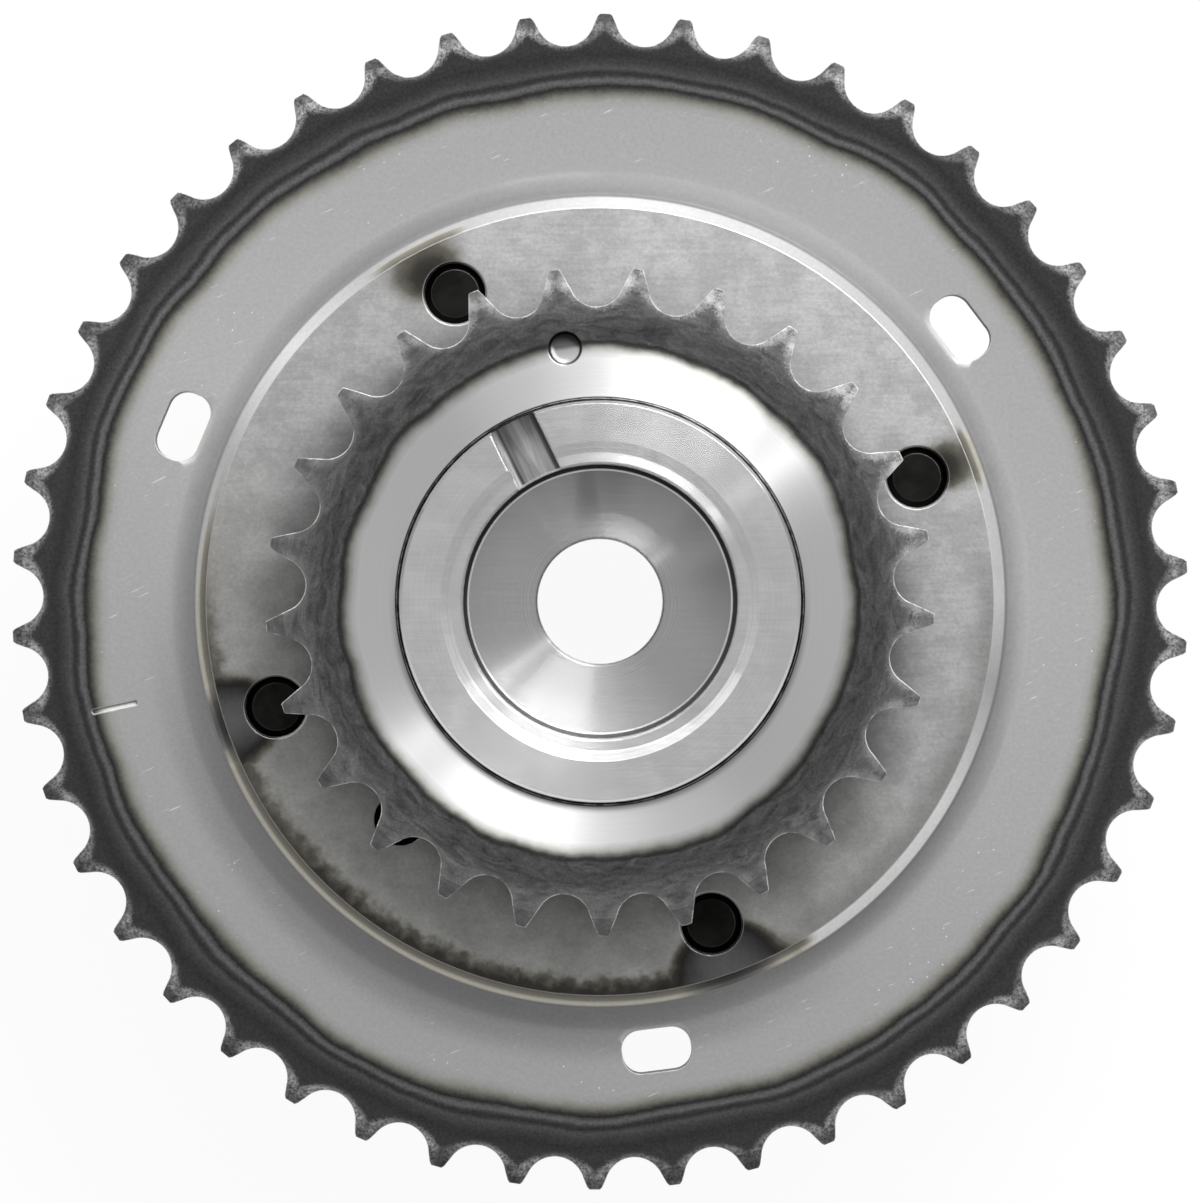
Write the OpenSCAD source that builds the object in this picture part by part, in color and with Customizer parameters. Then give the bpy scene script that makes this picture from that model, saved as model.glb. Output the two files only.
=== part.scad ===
// Cam phaser with two chain sprockets.
// A vane rotor that bolts to the camshaft turns inside a drum that two chains drive or are driven by.
// Z is the axis of the camshaft, which comes in from +Z. The origin is on that axis,
// at the seat that the camshaft's end is clamped against.

/* [Chain] */
// Pitch of both chains
chain_pitch = 8; // [7.5:0.125:9.5]
// Diameter of the chain rollers, which sets the depth of the tooth gaps
roller_d = 5; // [4.5:0.1:5.6]

/* [Primary sprocket] */
// Number of large teeth
primary_teeth = 46; // [44:1:52]
// Height of the large teeth above the pitch circle
primary_addendum = 0.7; // [0.5:0.05:1]
// Width of the large teeth along the axis
primary_width = 4.6; // [4:0.1:6]
// Radius of the round seat at the bottom of a large tooth gap
primary_seat_r = 3; // [2.7:0.05:3.2]
// Lean of the large tooth flanks from the radial direction
primary_flank = 27; // [22:1:32]
// Direction of the first large tooth
primary_phase = 3.4; // [0:0.1:7.8]
// Height of the raised disc above the toothed rim
disc_h = 2.3; // [1.6:0.1:3]
// Width of the disc's face outside the bolt holes
disc_land = 2.4; // [1.5:0.1:4]
// Radius of the hollow fillet at the foot of the disc
disc_fillet_r = 4; // [2:0.25:4.5]
// Length of the three slots, along the rim
slot_len = 7; // [6:0.1:10]
// Width of the slots, across the rim
slot_w = 4.4; // [4:0.1:5.4]
// Corner radius of the slots
slot_corner_r = 1.9; // [1:0.1:1.9]
// Land between the vane housing and the slots
slot_land = 1.9; // [1:0.1:2.5]
// Direction of the first slot
slot_angle = 37.2; // [30:0.1:45]
// Length of the engraved timing line
mark_len = 4.7; // [3:0.1:6]
// Width of the timing line
mark_w = 0.5; // [0.3:0.05:0.8]
// Depth of the timing line
mark_depth = 0.25; // [0.1:0.05:0.4]
// Distance of the timing line from the tooth roots
mark_inset = 3.7; // [2:0.1:5]
// Direction of the timing line
mark_angle = 192.3; // [180:0.1:210]

/* [Secondary sprocket] */
// Number of small teeth
secondary_teeth = 25; // [24:1:30]
// Height of the small teeth above the pitch circle
secondary_addendum = 1.5; // [1.2:0.05:1.7]
// Width of the small teeth along the axis
secondary_width = 4.6; // [4:0.1:6]
// Radius of the round seat at the bottom of a small tooth gap
secondary_seat_r = 2.7; // [2.6:0.05:2.9]
// Lean of the small tooth flanks from the radial direction
secondary_flank = 29; // [26:1:31]
// Direction of the first small tooth
secondary_phase = 11.45; // [0:0.05:14.4]
// Gap between the two sprockets, along the axis
standoff = 4; // [3:0.1:8]
// Wall of the spigot that is pressed into the primary sprocket
spigot_wall = 3.4; // [2.5:0.1:4.5]
// Step from the spigot to the collar that seats on the disc
collar_step = 2.2; // [1.5:0.1:2.6]
// Diameter of the timing dimple
dimple_d = 3.4; // [2.5:0.1:4]
// Depth of the timing dimple
dimple_depth = 0.9; // [0.5:0.1:1.5]
// Distance of the dimple's centre from the tooth roots
dimple_inset = 3.9; // [3:0.1:5]
// Number of the tooth that the dimple points at
dimple_tooth = 6; // [0:1:23]

/* [Tooth tips] */
// Height of the broken corners at the tooth tips
tip_break = 0.35; // [0.2:0.05:0.5]
// Radial length of the side relief at the tooth tips
relief_len = 1.8; // [1:0.1:2.4]
// Depth of the side relief at the tips
relief_depth = 0.45; // [0.2:0.05:0.8]

/* [Camshaft end] */
// Diameter of the bore that the camshaft's end slides into
pilot_d = 27.5; // [25:0.1:30]
// Depth of the camshaft seat below the rotor's nose
pilot_depth = 8; // [6.5:0.1:10]
// Wall of the nose around the pilot bore
nose_wall = 6.3; // [5.6:0.1:8]
// Height of the nose above the secondary sprocket
nose_proud = 1; // [0.4:0.1:1.6]
// Width of the flat ledge at the mouth of the pilot bore
ledge_w = 1.2; // [0.8:0.1:1.6]
// Depth of the ledge, and width of the cone that leads down to it
ledge_depth = 1; // [0.6:0.1:1.2]
// Diameter of the hole for the camshaft bolt
bolt_hole_d = 12.6; // [11:0.1:14]
// Thickness of the web that the camshaft bolt clamps
web_t = 12; // [10:0.5:14]
// Diameter of the front bore that takes the bolt head and the oil feed
feed_d = 30; // [27:0.5:34]
// Width of the slot for the camshaft's dowel
dowel_w = 4.7; // [4:0.1:6]
// Depth of the dowel slot
dowel_depth = 3.5; // [2.5:0.1:4.5]
// Direction of the dowel slot
dowel_angle = 116.2; // [90:0.1:140]

/* [Vane unit] */
// Land of the rotor's hub outside the spigot
hub_land = 0.5; // [0.2:0.1:1.5]
// Height of the oil chambers, from the hub to the drum
chamber_h = 13; // [12.5:0.1:16]
// Depth of the oil chambers along the axis
chamber_depth = 18; // [15:0.5:24]
// Wall of the drum outside the chambers
housing_wall = 4.5; // [4:0.1:6]
// Half of a shoe's width, as an angle
shoe_half = 11; // [10:0.5:12]
// Width of the three plain vanes, as an angle
vane_width = 22; // [18:1:26]
// Travel of the rotor, as an angle
travel = 25; // [18:1:28]
// Angle left between the lock vane and its shoe at the end of travel
stop_gap = 0.5; // [0.3:0.1:1]
// Gap between the metal of a vane or a shoe and what its seal runs on
tip_gap = 0.3; // [0.2:0.05:0.5]
// Fillet at the foot of a vane
vane_fillet = 1; // [0.6:0.1:1.2]
// Chamfer on the corners of a shoe's tip
shoe_chamfer = 1.3; // [1.2:0.1:1.8]
// Diameter of the radial oil drillings in the hub
oil_d = 2.6; // [2:0.1:3]

/* [Cover and bolts] */
// Thickness of the front cover
cover_t = 5; // [4:0.1:7]
// Step of the cover's rim inside the drum
cover_step = 0.5; // [0.2:0.1:1]
// Gap around the feed bore in the cover
cover_clear = 2.5; // [1.5:0.1:4]
// Thread diameter of the cover bolts
bolt_d = 6; // [5:0.1:6.4]
// Distance of the bolts from the drum's inner wall
bolt_inset = 2.75; // [2:0.05:4]
// Gap around the bolts in the cover and the drum
bolt_clear = 0.3; // [0.2:0.05:0.5]
// Depth of the bolt ends below the disc's face
bolt_recess = 0.6; // [0.3:0.1:1.2]
// Diameter of the flange under the bolt heads
flange_d = 12; // [10:0.1:12.6]
// Thickness of that flange
flange_t = 1.5; // [1:0.1:2]
// Width of the hexagon heads across the flats
hex_af = 8; // [7:0.1:9]
// Height of the bolt heads, with the flange
head_h = 6; // [5:0.1:8]
// Direction of bolt 1
bolt_angle_1 = 21.4; // [18:0.1:25]
// Direction of bolt 2
bolt_angle_2 = 115.2; // [112:0.1:118]
// Direction of bolt 3
bolt_angle_3 = 198; // [195:0.1:200]
// Direction of bolt 4
bolt_angle_4 = 289.1; // [287:0.1:293]

/* [Lock pin] */
// Diameter of the lock pin
pin_d = 7; // [6:0.1:7.4]
// Stroke of the lock pin
pin_stroke = 3; // [2:0.1:4]
// Thickness of the pin's nose, in front of the spring
pin_nose = 3; // [2:0.1:4]
// Space left behind the pin when it is drawn in
pin_slack = 0.9; // [0.5:0.1:1.5]
// Wall of the bush that guides the pin
pin_bush_wall = 1.2; // [0.8:0.1:1.5]
// Wall of the bush that the pin locks into
seat_wall = 1.3; // [1:0.1:1.6]
// Depth left above the pin in that bush
seat_clear = 0.6; // [0.4:0.1:1]
// Metal between the spigot and the lock seat
lock_land = 1.3; // [0.8:0.1:2]
// Angle from the lock vane's face to the pin
lock_inset = 18; // [17:0.5:19]
// Diameter of the vent hole behind the lock seat
vent_d = 5.3; // [4:0.1:6]
// Thickness of the plug that holds the spring
plug_t = 2; // [1.5:0.1:3]
// Wire diameter of the spring
wire_d = 0.7; // [0.5:0.05:0.8]
// Number of turns of the spring
wire_turns = 8; // [6:1:9]

/* [Seals] */
// Width of the seal bars
seal_w = 2.6; // [2:0.1:3]
// Height of the seal bars
seal_h = 2.8; // [2.4:0.1:3.2]
// Gap between a seal bar and what it runs on
seal_gap = 0.08; // [0.05:0.01:0.15]
// Height of the space for the leaf spring
leaf_space = 0.8; // [0.6:0.05:1]
// Thickness of the leaf springs
leaf_t = 0.25; // [0.15:0.05:0.35]
// How much shorter a leaf spring is than its seal bar
leaf_short = 3; // [2:0.5:5]
// Angle of the lock vane's seal from its trailing face
seal_inset = 9; // [8:0.5:10]

/* [Locating pin] */
// Diameter of the pin that sets the drum to the sprocket
locator_d = 3; // [2.5:0.1:3.5]
// Length of the pin in the sprocket
locator_hold = 3; // [2:0.1:3.5]
// Length of the pin beside the drum
locator_reach = 5; // [3:0.1:8]
// Direction of the locating pin
locator_angle = 98; // [80:1:106]

/* [Fits] */
// Gap all round a sliding or turning fit
fit_gap = 0.05; // [0.02:0.01:0.1]
// Chamfer on turned edges
edge = 0.4; // [0.2:0.05:0.6]

/* [Hidden] */
$fn = 128;
over = 1;                 // how far a cut runs past the metal
flank_bite = 0.02;        // how far a tooth flank starts inside its seat, so that the two cross
slot_count = 3;

// Radii, from the camshaft outward
pilot_r = pilot_d / 2;
nose_r = pilot_r + nose_wall;
journal_r = nose_r + fit_gap;
spigot_r = journal_r + spigot_wall;
collar_r = spigot_r + collar_step;
hub_r = spigot_r + hub_land;
shoe_tip_r = hub_r + tip_gap;
chamber_r = hub_r + chamber_h;
vane_tip_r = chamber_r - tip_gap;
housing_r = chamber_r + housing_wall;
bolt_r = bolt_d / 2;
bolt_pcr = chamber_r - bolt_inset;
disc_r = bolt_pcr + bolt_r + disc_land;
slot_pcr = housing_r + slot_land + slot_w / 2;
pin_r = pin_d / 2;
pin_guide_r = pin_r + fit_gap;
pin_bush_r = pin_guide_r + pin_bush_wall;
seat_bore_r = pin_r + 2 * fit_gap;
seat_r = seat_bore_r + seat_wall;
lock_pcr = spigot_r + lock_land + seat_r;

// Chain geometry
function pitch_radius(teeth) = chain_pitch / (2 * sin(180 / teeth));
primary_pitch_r = pitch_radius(primary_teeth);
primary_root_r = primary_pitch_r - roller_d / 2;
primary_tip_r = primary_pitch_r + primary_addendum;
secondary_pitch_r = pitch_radius(secondary_teeth);
secondary_root_r = secondary_pitch_r - roller_d / 2;
secondary_tip_r = secondary_pitch_r + secondary_addendum;

// Heights, from the camshaft's side to the front
nose_z = pilot_depth;
secondary_z = nose_z - nose_proud;
collar_z = secondary_z - secondary_width;
disc_z = collar_z - standoff;
rim_z = disc_z - disc_h;
plate_z = rim_z - primary_width;
drum_z = plate_z - chamber_depth;
cover_z = drum_z - cover_t;
rotor_top_z = plate_z - fit_gap;
rotor_end_z = drum_z + fit_gap;
rotor_depth = rotor_top_z - rotor_end_z;

// Lock pin lengths
pin_len = rotor_depth - plug_t - pin_stroke - pin_slack;
pin_top_z = rotor_top_z;
spring_top_z = pin_top_z - pin_nose;
plug_z = rotor_end_z + plug_t;
seat_len = pin_stroke + seat_clear;
spring_r = pin_r - pin_bush_wall;

// Directions of shoes, chambers, vanes and seals, all counted from bolt 1
bolt_angles = [bolt_angle_1, bolt_angle_2, bolt_angle_3, bolt_angle_4];
LOCK = 2;                 // the chamber that holds the lock vane
function chamber_start(i) = bolt_angles[i] + shoe_half;
function chamber_end(i) = bolt_angles[(i + 1) % 4] + (i == 3 ? 360 : 0) - shoe_half;
function chamber_middle(i) = (chamber_start(i) + chamber_end(i)) / 2;
function vane_start(i) =
  i == LOCK ? chamber_start(i) + stop_gap : chamber_middle(i) - (travel + vane_width) / 2;
function vane_end(i) =
  i == LOCK ? chamber_end(i) - stop_gap - travel : vane_start(i) + vane_width;
function vane_seal_angle(i) =
  i == LOCK ? vane_end(i) - seal_inset : (vane_start(i) + vane_end(i)) / 2;
lock_angle = vane_start(LOCK) + lock_inset;

function polar(r, a) = [r * cos(a), r * sin(a)];

// Sector of a circle, as a triangle that reaches past it
module wedge(from, to, r) {
  polygon([[0, 0], polar(2 * r, from), polar(2 * r, to)]);
}

// Space between two teeth: a round roller seat that opens into two straight flanks,
// which lean out to 45 degrees where the corners of the tips are broken.
// The seat's centre is at the origin and the tips lie toward +X, at x = height.
module tooth_gap(seat, flank, height) {
  foot = (seat - flank_bite) * [-sin(flank), cos(flank)];
  shoulder = foot + (height - tip_break - foot.x) * [1, tan(flank)];
  mouth = shoulder + (tip_break + over) * [1, 1];
  circle(r = seat);
  polygon([
    foot, shoulder, mouth,
    [mouth.x, -mouth.y], [shoulder.x, -shoulder.y], [foot.x, -foot.y]
  ]);
}

module sprocket_outline(teeth, root, tip, seat, flank, phase) {
  difference() {
    circle(r = tip);
    for (k = [0 : teeth - 1])
      rotate(phase + (k + 0.5) * 360 / teeth)
        translate([root + seat, 0])
          tooth_gap(seat, flank, tip - root - seat);
  }
}

// Toothed wheel from z = 0 up, with the tips thinned on both sides to lead the chain on
module toothed_wheel(teeth, root, tip, seat, flank, phase, width) {
  slope = relief_depth / relief_len;
  intersection() {
    linear_extrude(width) sprocket_outline(teeth, root, tip, seat, flank, phase);
    rotate_extrude()
      polygon([
        [0, 0], [tip - relief_len, 0], [tip + over, relief_depth + over * slope],
        [tip + over, width - relief_depth - over * slope], [tip - relief_len, width], [0, width]
      ]);
  }
}

// Turned disc or shaft from z = 0 up, with its two outer edges chamfered
module turned(r, h, low = edge, high = edge) {
  rotate_extrude()
    polygon([[0, 0], [r - low, 0], [r, low], [r, h - high], [r - high, h], [0, h]]);
}

// Cut for a round hole with a chamfered mouth. It runs down from z = 0, where the mouth is.
module drilled(r, depth, chamfer) {
  rotate_extrude()
    polygon([
      [0, over], [r + chamfer + over, over], [r, -chamfer], [r, -depth], [0, -depth]
    ]);
}

module at_bolts() {
  for (a = bolt_angles)
    rotate(a) translate([bolt_pcr, 0, 0]) children();
}

module at_lock(z) {
  rotate(lock_angle) translate([lock_pcr, 0, z]) children();
}

// Raised disc on the rim: a flat top, a 45 degree cone and a hollow fillet that dies into the rim
module raised_disc() {
  foot = disc_r + disc_h;
  run = disc_fillet_r * tan(22.5);
  centre = [foot + run, disc_fillet_r];
  bite = flank_bite;
  rotate_extrude() {
    polygon([[0, -over], [foot, -over], [foot, 0], [disc_r, disc_h], [0, disc_h]]);
    difference() {
      polygon([
        [foot - over, -over], [foot + run, -over], [foot + run, disc_fillet_r],
        [foot - run * cos(45), run * sin(45)], [foot - over, 0]
      ]);
      translate(centre) circle(r = disc_fillet_r + bite);
    }
  }
}

// Slot with round corners: two crossed bars and four corner discs
module rounded_slot(length, width, corner) {
  square([length - 2 * corner, width], center = true);
  square([length, width - 2 * corner], center = true);
  for (x = [-1, 1], y = [-1, 1])
    translate([x * (length / 2 - corner), y * (width / 2 - corner)]) circle(r = corner);
}

module primary_sprocket() {
  mark_r = primary_root_r - mark_inset - mark_len / 2;
  color("#9a9892")
    difference() {
      union() {
        translate([0, 0, plate_z])
          toothed_wheel(primary_teeth, primary_root_r, primary_tip_r, primary_seat_r,
                        primary_flank, primary_phase, primary_width);
        translate([0, 0, rim_z]) raised_disc();
      }
      translate([0, 0, plate_z - over]) cylinder(r = spigot_r, h = disc_z - plate_z + 2 * over);
      translate([0, 0, disc_z]) at_bolts()
        drilled(bolt_r + fit_gap, disc_z - plate_z + over, edge / 2);
      at_lock(plate_z - over) cylinder(r = seat_r, h = seat_len + over);
      at_lock(plate_z) cylinder(d = vent_d, h = disc_z - plate_z + over);
      for (k = [0 : slot_count - 1])
        rotate(slot_angle + k * 360 / slot_count)
          translate([slot_pcr, 0, plate_z - over])
            linear_extrude(primary_width + disc_h + 2 * over)
              rotate(90) rounded_slot(slot_len, slot_w, slot_corner_r);
      rotate(mark_angle)
        translate([mark_r, 0, rim_z - mark_depth])
          linear_extrude(mark_depth + over) rounded_slot(mark_len, mark_w, 0.45 * mark_w);
      rotate(locator_angle)
        translate([housing_r, 0, plate_z - over]) cylinder(d = locator_d, h = locator_hold + over);
    }
}

module secondary_sprocket() {
  color("#77756f")
    difference() {
      union() {
        translate([0, 0, collar_z])
          toothed_wheel(secondary_teeth, secondary_root_r, secondary_tip_r, secondary_seat_r,
                        secondary_flank, secondary_phase, secondary_width);
        translate([0, 0, disc_z]) cylinder(r = collar_r, h = standoff + over);
        translate([0, 0, plate_z]) cylinder(r = spigot_r, h = disc_z - plate_z + over);
      }
      translate([0, 0, secondary_z]) drilled(journal_r, secondary_z - plate_z + over, edge / 2);
      rotate(secondary_phase + dimple_tooth * 360 / secondary_teeth)
        translate([secondary_root_r - dimple_inset, 0, secondary_z])
          drilled(dimple_d / 2 - edge / 2, dimple_depth, edge / 2);
    }
}

// Outline of the four chambers and the round space for the hub
module chambers_outline() {
  circle(r = shoe_tip_r);
  for (i = [0 : 3]) {
    intersection() {
      circle(r = chamber_r);
      wedge(chamber_start(i), chamber_end(i), chamber_r);
    }
    shoe_corner(chamber_start(i), 1);
    shoe_corner(chamber_end(i), -1);
  }
}

// Cut that chamfers the corner of a shoe's tip, where side is the way to the chamber
module shoe_corner(angle, side) {
  face = polar(shoe_tip_r + shoe_chamfer, angle);
  tip = polar(shoe_tip_r, angle - side * shoe_chamfer / shoe_tip_r * 180 / PI);
  run = tip - face;
  polygon([
    face - 0.1 * run, face + 1.2 * run,
    polar(shoe_tip_r - over, angle), polar(shoe_tip_r, angle + 3 * side)
  ]);
}

module vane_housing() {
  slot_r = hub_r + seal_gap + seal_h + leaf_space;
  color("#8b8a85")
    difference() {
      translate([0, 0, drum_z]) turned(housing_r, chamber_depth);
      translate([0, 0, drum_z - over]) linear_extrude(chamber_depth + 2 * over) chambers_outline();
      translate([0, 0, drum_z - over]) at_bolts()
        cylinder(r = bolt_r + bolt_clear, h = chamber_depth + 2 * over);
      for (a = bolt_angles)
        rotate(a) translate([0, -seal_w / 2 - fit_gap, drum_z - over])
          cube([slot_r, seal_w + 2 * fit_gap, chamber_depth + 2 * over]);
      rotate(locator_angle)
        translate([housing_r, 0, plate_z - locator_reach - edge])
          cylinder(d = locator_d + 2 * fit_gap, h = locator_reach + edge + over);
    }
}

module front_cover() {
  color("#a3a19b")
    difference() {
      translate([0, 0, cover_z]) turned(housing_r - cover_step, cover_t, 2 * edge, edge);
      translate([0, 0, cover_z]) mirror([0, 0, 1])
        drilled(feed_d / 2 + cover_clear, cover_t + over, 2 * edge);
      translate([0, 0, cover_z - over]) at_bolts()
        cylinder(r = bolt_r + bolt_clear, h = cover_t + 2 * over);
    }
}

// Flanged hexagon bolt: its seat is at z = 0, its shank goes up and its head down
module flange_bolt(shank) {
  turned(bolt_r, shank, 0, bolt_r / 5);
  translate([0, 0, -flange_t]) turned(flange_d / 2, flange_t, edge, 0);
  translate([0, 0, -head_h])
    intersection() {
      cylinder(d = hex_af / cos(30), h = head_h, $fn = 6);
      turned(hex_af / 2 / cos(30), head_h, hex_af / 10, 0);
    }
}

module cover_bolts() {
  color("#1d1c1b")
    translate([0, 0, cover_z]) at_bolts() flange_bolt(disc_z - bolt_recess - cover_z);
}

module locating_pin() {
  color("#b0aea8")
    rotate(locator_angle)
      translate([housing_r, 0, plate_z - locator_reach])
        turned(locator_d / 2, locator_reach + locator_hold, edge, edge);
}

module lock_seat_bush() {
  color("#2f2e2d")
    at_lock(plate_z)
      difference() {
        cylinder(r = seat_r, h = seat_len);
        mirror([0, 0, 1]) drilled(seat_bore_r, seat_len + over, edge / 2);
      }
}

// Hub and four vanes, seen along the axis
module rotor_outline() {
  circle(r = hub_r);
  for (i = [0 : 3]) {
    intersection() {
      circle(r = vane_tip_r);
      wedge(vane_start(i), vane_end(i), vane_tip_r);
    }
    vane_foot(vane_start(i), -1);
    vane_foot(vane_end(i), 1);
  }
}

// Fillet between the hub and a vane's face, where side is the way off the face
module vane_foot(angle, side) {
  centre_r = hub_r + vane_fillet;
  lean = side * asin(vane_fillet / centre_r);
  difference() {
    polygon([
      polar(hub_r - over, angle - lean), polar(hub_r - over, angle + lean),
      polar(centre_r, angle + lean), polar(centre_r, angle - lean)
    ]);
    translate(polar(centre_r, angle + lean)) circle(r = vane_fillet + flank_bite);
  }
}

// Half section of everything bored in the rotor's middle, from the mouth of the pilot bore
// down past the camshaft seat and the bolt hole to the front bore
module rotor_bores() {
  hole_r = bolt_hole_d / 2;
  feed_r = feed_d / 2;
  ledge_r = pilot_r + ledge_w;
  ledge_z = nose_z - ledge_depth;
  mouth = edge / 2;
  groove = edge;
  rotate_extrude()
    polygon([
      [0, nose_z + over], [ledge_r + ledge_depth + over, nose_z + over],
      [ledge_r, ledge_z], [pilot_r + mouth, ledge_z], [pilot_r, ledge_z - mouth],
      [pilot_r, 0], [pilot_r + groove / 4, -groove],
      [pilot_r - groove, -groove], [pilot_r - groove, 0],
      [hole_r + mouth, 0], [hole_r, -mouth], [hole_r, mouth - web_t], [hole_r + mouth, -web_t],
      [feed_r, -web_t], [feed_r, rotor_end_z + edge], [feed_r + edge + over, rotor_end_z - over],
      [0, rotor_end_z - over]
    ]);
}

// Slot for the camshaft's dowel, across the nose and open at both ends, with broken edges
module dowel_slot() {
  half = dowel_w / 2;
  lip = edge / 2;
  rotate(dowel_angle)
    translate([pilot_r - over, 0, nose_z])
      rotate([90, 0, 90])
        linear_extrude(nose_wall + 2 * over)
          polygon([
            [-half, -dowel_depth], [half, -dowel_depth], [half, -lip],
            [half + lip + over, over], [-half - lip - over, over], [-half, -lip]
          ]);
}

// Two drillings per vane lead oil from the front bore to the two sides of the vane
module oil_drillings() {
  margin = asin((vane_fillet + oil_d / 2) / hub_r);
  start = feed_d / 2 - over;
  advance_z = -web_t - 1.5 * oil_d;
  retard_z = rotor_end_z + 2 * oil_d;
  for (i = [0 : 3]) {
    rotate(vane_start(i) - margin) translate([start, 0, advance_z]) rotate([0, 90, 0])
      cylinder(d = oil_d, h = hub_r - start + over);
    rotate(vane_end(i) + margin) translate([start, 0, retard_z]) rotate([0, 90, 0])
      cylinder(d = oil_d, h = hub_r - start + over);
  }
}

module vane_rotor() {
  slot_r = chamber_r - seal_gap - seal_h - leaf_space;
  slot_h = vane_tip_r - slot_r + over;
  color("#a9a7a1")
    difference() {
      union() {
        translate([0, 0, rotor_end_z]) linear_extrude(rotor_depth) rotor_outline();
        translate([0, 0, rotor_top_z - over])
          turned(nose_r, nose_z - rotor_top_z + over, 0, 0.7 * edge);
      }
      rotor_bores();
      dowel_slot();
      oil_drillings();
      at_lock(rotor_end_z - over) cylinder(r = pin_bush_r, h = rotor_depth + 2 * over);
      for (i = [0 : 3])
        rotate(vane_seal_angle(i))
          translate([slot_r, -seal_w / 2 - fit_gap, rotor_end_z - over])
            cube([slot_h, seal_w + 2 * fit_gap, rotor_depth + 2 * over]);
    }
}

module lock_pin_bush() {
  length = pin_len - pin_slack;
  color("#8f8d88")
    at_lock(rotor_top_z)
      difference() {
        mirror([0, 0, 1]) turned(pin_bush_r, length, 0, edge / 2);
        drilled(pin_guide_r, length + over, edge / 2);
      }
}

module lock_pin() {
  color("#b5b3ad")
    at_lock(pin_top_z)
      mirror([0, 0, 1])
        difference() {
          turned(pin_r, pin_len, edge, edge / 2);
          translate([0, 0, pin_nose]) cylinder(r = spring_r, h = pin_len);
        }
}

// Points of one ring of the coil's wire, at a share s of the coil's length
SIDES = 8;
STEPS = 16;
function coil_ring(s, coil_r, wire, length) =
  [for (k = [0 : SIDES - 1])
    let (turn = 360 * wire_turns * s, lean = 360 * k / SIDES, r = coil_r + wire * cos(lean))
      [r * cos(turn), r * sin(turn), wire + (length - 2 * wire) * s + wire * sin(lean)]];

module coil(coil_r, wire, length) {
  rings = STEPS * wire_turns;
  points = [for (j = [0 : rings]) each coil_ring(j / rings, coil_r, wire, length)];
  sides = [for (j = [0 : rings - 1], k = [0 : SIDES - 1])
    let (a = j * SIDES + k, b = j * SIDES + (k + 1) % SIDES)
      each [[a, a + SIDES, b], [b, a + SIDES, b + SIDES]]];
  first = [for (k = [0 : SIDES - 1]) k];
  last = [for (k = [SIDES - 1 : -1 : 0]) rings * SIDES + k];
  polyhedron(points, concat(sides, [first, last]));
}

module lock_pin_spring() {
  color("#a8a6a0")
    at_lock(plug_z + fit_gap)
      coil(spring_r - 2 * fit_gap - wire_d / 2, wire_d / 2, spring_top_z - plug_z - 2 * fit_gap);
}

module lock_spring_plug() {
  color("#8f8d88")
    at_lock(rotor_end_z)
      difference() {
        turned(pin_bush_r, plug_t, edge, edge);
        translate([0, 0, -over]) cylinder(r = spring_r / 2, h = plug_t + 2 * over);
      }
}

// Seal bar in a vane: its outer face follows the drum's wall
module vane_seal(i) {
  outer = chamber_r - seal_gap;
  color("#2b2a29")
    rotate(vane_seal_angle(i))
      translate([0, 0, rotor_end_z])
        linear_extrude(rotor_depth)
          intersection() {
            translate([outer - seal_h, -seal_w / 2]) square([seal_h + over, seal_w]);
            circle(r = outer);
          }
}

// Seal bar in a shoe: its inner face follows the rotor's hub
module shoe_seal(i) {
  inner = hub_r + seal_gap;
  color("#2b2a29")
    rotate(bolt_angles[i])
      translate([0, 0, rotor_end_z])
        linear_extrude(rotor_depth)
          difference() {
            translate([inner - over, -seal_w / 2]) square([seal_h + over, seal_w]);
            circle(r = inner);
          }
}

// Bowed strip along Z: its ends stand at x = 0 and its back is toward +X
module leaf() {
  length = rotor_depth - leaf_short;
  bow = leaf_space - leaf_t - 2 * fit_gap;
  bend_r = (length * length / 4 + bow * bow) / (2 * bow);
  rotate([90, 0, 0])
    linear_extrude(seal_w, center = true)
      intersection() {
        translate([bow + leaf_t - bend_r, 0])
          difference() {
            circle(r = bend_r, $fn = 256);
            circle(r = bend_r - leaf_t, $fn = 256);
          }
        translate([-over, -length / 2]) square([bow + leaf_t + 2 * over, length]);
      }
}

module vane_seal_spring(i) {
  color("#a8a6a0")
    rotate(vane_seal_angle(i))
      translate([chamber_r - seal_gap - seal_h - leaf_space + fit_gap, 0, (plate_z + drum_z) / 2])
        leaf();
}

module shoe_seal_spring(i) {
  color("#a8a6a0")
    rotate(bolt_angles[i])
      translate([hub_r + seal_gap + seal_h + leaf_space - fit_gap, 0, (plate_z + drum_z) / 2])
        mirror([1, 0, 0]) leaf();
}

primary_sprocket();
secondary_sprocket();
vane_housing();
front_cover();
cover_bolts();
locating_pin();
lock_seat_bush();
vane_rotor();
lock_pin_bush();
lock_pin();
lock_pin_spring();
lock_spring_plug();
for (i = [0 : 3]) {
  vane_seal(i);
  vane_seal_spring(i);
  shoe_seal(i);
  shoe_seal_spring(i);
}
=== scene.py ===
# %% [markdown]
# # Dressing a cam phaser
#
# The solids of this part come from CAD and already have the right shape, down to the broken corners
# of the teeth. What they lack is a surface. Steel shows how it was made: a lathe leaves fine circles,
# shot blasting leaves a dull grey skin, and the induction coil that hardens the teeth leaves bands of
# oxide, the heat tints. This lesson builds each of those finishes from nodes, in millimetres of the
# real part, and then lights them the way the photograph was lit.

import math
from functools import partial

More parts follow.
